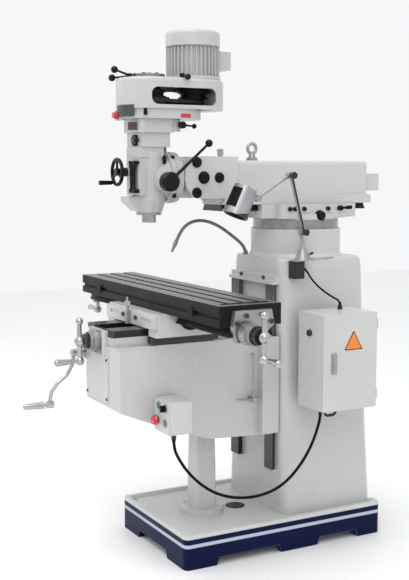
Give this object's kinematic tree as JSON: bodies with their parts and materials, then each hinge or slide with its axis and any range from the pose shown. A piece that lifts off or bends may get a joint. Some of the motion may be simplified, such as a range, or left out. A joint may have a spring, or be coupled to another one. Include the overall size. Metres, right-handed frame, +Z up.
{
  "type": "vertical milling machine",
  "caption": "Turret-type vertical milling machine on a knee and column: tilting head on a sliding ram, feed table with slots, hand cranks, work lamp, coolant hose and electric cabinet.",
  "frame": {"origin": "middle of the base's outline, on the floor plane", "axes": "+X is the operator's right along the table, +Y runs from the operator to the column, +Z is up"},
  "size_m": [1.6779, 1.611, 2.099],
  "materials": {
    "cream_enamel": "gloss",
    "base_enamel": "gloss",
    "sheet_enamel": "gloss",
    "silver_enamel": "satin",
    "ground_iron": "satin",
    "black_steel": "satin",
    "bright_steel": "brushed",
    "chrome": "polished",
    "black_plastic": "gloss",
    "green_plastic": "gloss",
    "red_plastic": "gloss",
    "belt_rubber": "matte",
    "cable_rubber": "satin",
    "grey_paint": "satin",
    "hose_metal": "satin",
    "frosted_glass": "frosted",
    "phenolic": "matte"
  },
  "bodies": {
    "frame": {"base": "base_enamel", "drain_strainer": "black_steel", "column": "cream_enamel", "knee_screw_post": "cream_enamel", "electric_cabinet": "sheet_enamel", "control_gear": "phenolic", "lamp_base": "grey_paint", "coolant_hose": "hose_metal", "control_cable": "cable_rubber", "lamp_cable": "cable_rubber"},
    "door": {"cabinet_door": "sheet_enamel"},
    "latch": {"cabinet_latch": "black_steel"},
    "lamp_swivel": {"lamp_stem": "grey_paint"},
    "lamp_low": {"lamp_lower_arm": "grey_paint"},
    "lamp_high": {"lamp_upper_arm": "grey_paint"},
    "lamp": {"lamp_head": "grey_paint", "lamp_bulb": "frosted_glass"},
    "turret": {"turret_saddle": "cream_enamel", "turret_bolts": "black_steel"},
    "ram_lock": {"ram_lock_lever": "black_steel"},
    "ram_gear": {"ram_pinion": "bright_steel"},
    "ram_body": {"ram": "cream_enamel", "lifting_eye": "black_steel", "nod_bolts": "black_steel"},
    "worm": {"nod_worm": "bright_steel"},
    "adapter": {"ram_adapter": "silver_enamel"},
    "head": {"head_casting": "silver_enamel", "back_gear_case": "silver_enamel", "belt_housing": "silver_enamel", "motor": "silver_enamel", "drive_belt": "belt_rubber", "quill_stop": "black_steel"},
    "brake": {"brake_lever": "black_plastic"},
    "high_low": {"high_low_lever": "black_plastic"},
    "back_gear": {"back_gear_lever": "black_plastic"},
    "belt_release": {"belt_release_lever": "black_plastic"},
    "drum_switch": {"drum_switch_knob": "black_plastic"},
    "feed_selector": {"feed_selector_knob": "black_plastic"},
    "handwheel": {"fine_feed_handwheel": "black_plastic"},
    "feed_lever": {"quill_feed_lever": "black_plastic"},
    "quill_lock": {"quill_lock_lever": "black_plastic"},
    "quill_body": {"quill": "bright_steel"},
    "spindle_body": {"spindle": "bright_steel"},
    "driven_pulley": {"spindle_pulley": "bright_steel"},
    "driving_pulley": {"motor_pulley": "bright_steel"},
    "knee_body": {"knee": "cream_enamel", "control_box": "sheet_enamel"},
    "knee_lock": {"knee_lock_lever": "black_steel"},
    "start": {"start_button": "green_plastic"},
    "jog": {"jog_button": "black_plastic"},
    "stop": {"stop_button": "red_plastic"},
    "mode": {"mode_selector": "black_plastic"},
    "knee_thread": {"knee_screw": "bright_steel"},
    "elevating": {"elevating_crank": "chrome"},
    "elevating_gear": {"elevating_shaft": "bright_steel"},
    "cross_screw": {"cross_feed_crank": "chrome"},
    "saddle_body": {"saddle": "cream_enamel"},
    "table_body": {"table": "ground_iron", "table_brackets": "ground_iron"},
    "long_screw": {"table_screw": "chrome"}
  },
  "joints": [
    {"name": "cabinet_door_hinge", "type": "hinge", "parent": "frame", "child": "door", "pos_m": [0.4285, 0.334, 0.79], "axis": [0, 0, 1], "range_deg": [0, 110]},
    {"name": "cabinet_latch_turn", "type": "hinge", "parent": "door", "child": "latch", "pos_m": [0.437, 0.118, 0.79], "axis": [1, 0, 0], "range_deg": [0, 90]},
    {"name": "lamp_stem_turn", "type": "hinge", "parent": "frame", "child": "lamp_swivel", "pos_m": [0.233, 0.1, 1.262], "axis": [0, 0, 1], "range_deg": [-10, 50]},
    {"name": "lamp_lower_elbow", "type": "hinge", "parent": "lamp_swivel", "child": "lamp_low", "pos_m": [0.24, 0.093, 1.301], "axis": [1, 0, 0], "range_deg": [-15, 15]},
    {"name": "lamp_upper_elbow", "type": "hinge", "parent": "lamp_low", "child": "lamp_high", "pos_m": [0.24, 0.032, 1.53], "axis": [1, 0, 0], "range_deg": [-20, 15]},
    {"name": "lamp_head_tilt", "type": "hinge", "parent": "lamp_high", "child": "lamp", "pos_m": [0.24, -0.118, 1.44], "axis": [1, 0, 0], "range_deg": [-30, 30]},
    {"name": "turret_swivel", "type": "hinge", "parent": "frame", "child": "turret", "pos_m": [0, 0.218, 1.307], "axis": [0, 0, 1], "range_deg": [-90, 4]},
    {"name": "ram_lock_turn", "type": "hinge", "parent": "turret", "child": "ram_lock", "pos_m": [0.16, 0.336, 1.392], "axis": [1, 0, 0], "range_deg": [-20, 60]},
    {"name": "ram_slide", "type": "slide", "parent": "turret", "child": "ram_body", "axis": [0, 1, 0], "range_m": [-0.2, 0.15]},
    {"name": "ram_pinion_turn", "type": "hinge", "parent": "turret", "child": "ram_gear", "pos_m": [0, 0.23, 1.365], "axis": [1, 0, 0], "range_deg": [-430, 573]},
    {"name": "nod", "type": "hinge", "parent": "ram_body", "child": "adapter", "pos_m": [0, -0.284, 1.521], "axis": [1, 0, 0], "range_deg": [-20, 10]},
    {"name": "nod_worm_turn", "type": "hinge", "parent": "ram_body", "child": "worm", "pos_m": [0, -0.154, 1.521], "axis": [0, 0, 1], "range_deg": [-800, 400]},
    {"name": "head_swivel", "type": "hinge", "parent": "adapter", "child": "head", "pos_m": [0, -0.4, 1.521], "axis": [0, 1, 0], "range_deg": [-90, 45]},
    {"name": "brake_turn", "type": "hinge", "parent": "head", "child": "brake", "pos_m": [0, -0.557, 1.916], "axis": [0, 0, 1], "range_deg": [0, 30]},
    {"name": "high_low_turn", "type": "hinge", "parent": "head", "child": "high_low", "pos_m": [-0.038, -0.546, 1.916], "axis": [0, 0, 1], "range_deg": [-18, 8]},
    {"name": "back_gear_turn", "type": "hinge", "parent": "head", "child": "back_gear", "pos_m": [0.088, -0.372, 1.726], "axis": [1, 0, 0], "range_deg": [-50, 0]},
    {"name": "belt_release_turn", "type": "hinge", "parent": "head", "child": "belt_release", "pos_m": [0.097, -0.378, 1.918], "axis": [0, 0, 1], "range_deg": [-25, 25]},
    {"name": "drum_switch_turn", "type": "hinge", "parent": "head", "child": "drum_switch", "pos_m": [-0.022, -0.601, 1.763], "axis": [0, 1, 0], "range_deg": [-45, 45]},
    {"name": "feed_selector_turn", "type": "hinge", "parent": "head", "child": "feed_selector", "pos_m": [0.018, -0.543, 1.666], "axis": [0, 1, 0], "range_deg": [-8, 35]},
    {"name": "handwheel_turn", "type": "hinge", "parent": "head", "child": "handwheel", "pos_m": [-0.042, -0.596, 1.543], "axis": [0, 1, 0], "continuous": true},
    {"name": "quill_feed", "type": "slide", "parent": "head", "child": "quill_body", "axis": [0, 0, -1], "range_m": [0, 0.127]},
    {"name": "quill_lever_turn", "type": "hinge", "parent": "head", "child": "feed_lever", "pos_m": [0.134, -0.452, 1.506], "axis": [1, 0, 0], "range_deg": [0, 340]},
    {"name": "quill_lock_turn", "type": "hinge", "parent": "head", "child": "quill_lock", "pos_m": [0.056, -0.438, 1.58], "axis": [0, 0, 1], "range_deg": [0, 35]},
    {"name": "spindle_turn", "type": "hinge", "parent": "quill_body", "child": "spindle_body", "pos_m": [0, -0.479, 1.4], "axis": [0, 0, 1], "continuous": true},
    {"name": "driven_pulley_turn", "type": "hinge", "parent": "head", "child": "driven_pulley", "pos_m": [0, -0.479, 1.821], "axis": [0, 0, 1], "continuous": true},
    {"name": "driving_pulley_turn", "type": "hinge", "parent": "head", "child": "driving_pulley", "pos_m": [0, -0.281, 1.821], "axis": [0, 0, 1], "continuous": true},
    {"name": "knee_lift", "type": "slide", "parent": "frame", "child": "knee_body", "axis": [0, 0, 1], "range_m": [-0.25, 0.09], "deforming": ["control_cable"]},
    {"name": "knee_screw_turn", "type": "hinge", "parent": "knee_body", "child": "knee_thread", "pos_m": [0, -0.241, 0.6], "axis": [0, 0, 1], "range_deg": [-18100, 6600]},
    {"name": "elevating_shaft_turn", "type": "hinge", "parent": "knee_body", "child": "elevating_gear", "pos_m": [-0.1, -0.4, 0.826], "axis": [0, 1, 0], "range_deg": [-54200, 19700]},
    {"name": "elevating_crank_swing", "type": "hinge", "parent": "knee_body", "child": "elevating", "pos_m": [-0.1, -0.753, 0.826], "axis": [0, 1, 0], "range_deg": [-40, 40]},
    {"name": "knee_lock_turn", "type": "hinge", "parent": "knee_body", "child": "knee_lock", "pos_m": [0.165, -0.096, 0.618], "axis": [1, 0, 0], "range_deg": [0, 15]},
    {"name": "start_push", "type": "slide", "parent": "knee_body", "child": "start", "axis": [0, 1, 0], "range_m": [0, 0.003], "stiffness_N_per_m": 600, "springref_m": -0.002},
    {"name": "jog_push", "type": "slide", "parent": "knee_body", "child": "jog", "axis": [0, 1, 0], "range_m": [0, 0.003], "stiffness_N_per_m": 600, "springref_m": -0.002},
    {"name": "stop_push", "type": "slide", "parent": "knee_body", "child": "stop", "axis": [0, 1, 0], "range_m": [0, 0.004], "stiffness_N_per_m": 900, "springref_m": -0.002},
    {"name": "mode_turn", "type": "hinge", "parent": "knee_body", "child": "mode", "pos_m": [0.256, -0.53, 0.645], "axis": [0, 1, 0], "range_deg": [-45, 45]},
    {"name": "saddle_cross", "type": "slide", "parent": "knee_body", "child": "saddle_body", "axis": [0, 1, 0], "range_m": [-0.1, 0.15]},
    {"name": "cross_screw_turn", "type": "hinge", "parent": "knee_body", "child": "cross_screw", "pos_m": [0, -0.713, 0.888], "axis": [0, 1, 0], "range_deg": [-7300, 10900]},
    {"name": "table_traverse", "type": "slide", "parent": "saddle_body", "child": "table_body", "axis": [1, 0, 0], "range_m": [-0.4, 0.4]},
    {"name": "table_screw_turn", "type": "hinge", "parent": "table_body", "child": "long_screw", "pos_m": [0, -0.414, 0.984], "axis": [1, 0, 0], "range_deg": [-29000, 29000]}
  ],
  "couplings": [
    {"joint": "ram_pinion_turn", "follows": "ram_slide", "rad_per_m": -50},
    {"joint": "nod_worm_turn", "follows": "nod", "ratio": 40},
    {"joint": "quill_lever_turn", "follows": "quill_feed", "rad_per_m": 46.5},
    {"joint": "driven_pulley_turn", "follows": "spindle_turn", "ratio": 1},
    {"joint": "driving_pulley_turn", "follows": "spindle_turn", "ratio": 2.027},
    {"joint": "knee_screw_turn", "follows": "knee_lift", "rad_per_m": 1256.6},
    {"joint": "elevating_shaft_turn", "follows": "knee_lift", "rad_per_m": 3769.9},
    {"joint": "cross_screw_turn", "follows": "saddle_cross", "rad_per_m": 1256.6},
    {"joint": "table_screw_turn", "follows": "table_traverse", "rad_per_m": 1256.6}
  ]
}
